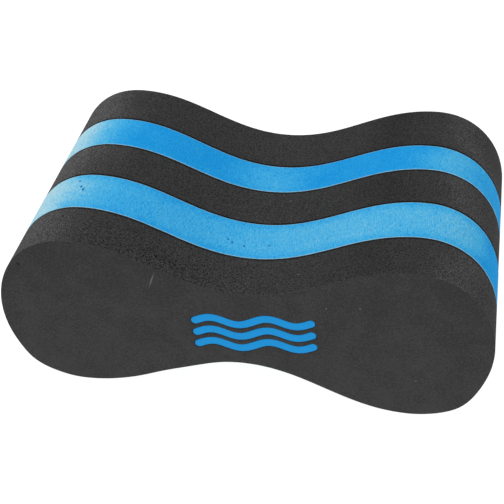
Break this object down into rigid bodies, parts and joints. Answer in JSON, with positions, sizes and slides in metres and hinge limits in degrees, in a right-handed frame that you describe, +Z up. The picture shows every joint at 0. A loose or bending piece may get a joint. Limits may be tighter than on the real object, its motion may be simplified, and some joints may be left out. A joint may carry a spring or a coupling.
{
  "type": "pull buoy",
  "caption": "Hourglass foam leg float for swim training, laminated from charcoal and blue sheets, held between the thighs.",
  "frame": {"origin": "centre of the footprint, on the surface that the undersides of the two lobes stand on", "axes": "+X along the length, +Y from the marked end face through the sheets to the plain end face, +Z up"},
  "size_m": [0.24, 0.1424, 0.087],
  "materials": {
    "charcoal_foam": "matte",
    "blue_foam": "matte",
    "glue": "satin",
    "blue_mark": "satin"
  },
  "bodies": {
    "root": {"front_charcoal_sheet": "charcoal_foam", "front_blue_sheet": "blue_foam", "middle_charcoal_sheet": "charcoal_foam", "rear_blue_sheet": "blue_foam", "rear_charcoal_sheet": "charcoal_foam", "glue_line_1": "glue", "glue_line_2": "glue", "glue_line_3": "glue", "glue_line_4": "glue", "lower_wave_mark": "blue_mark", "middle_wave_mark": "blue_mark", "upper_wave_mark": "blue_mark"}
  },
  "joints": []
}
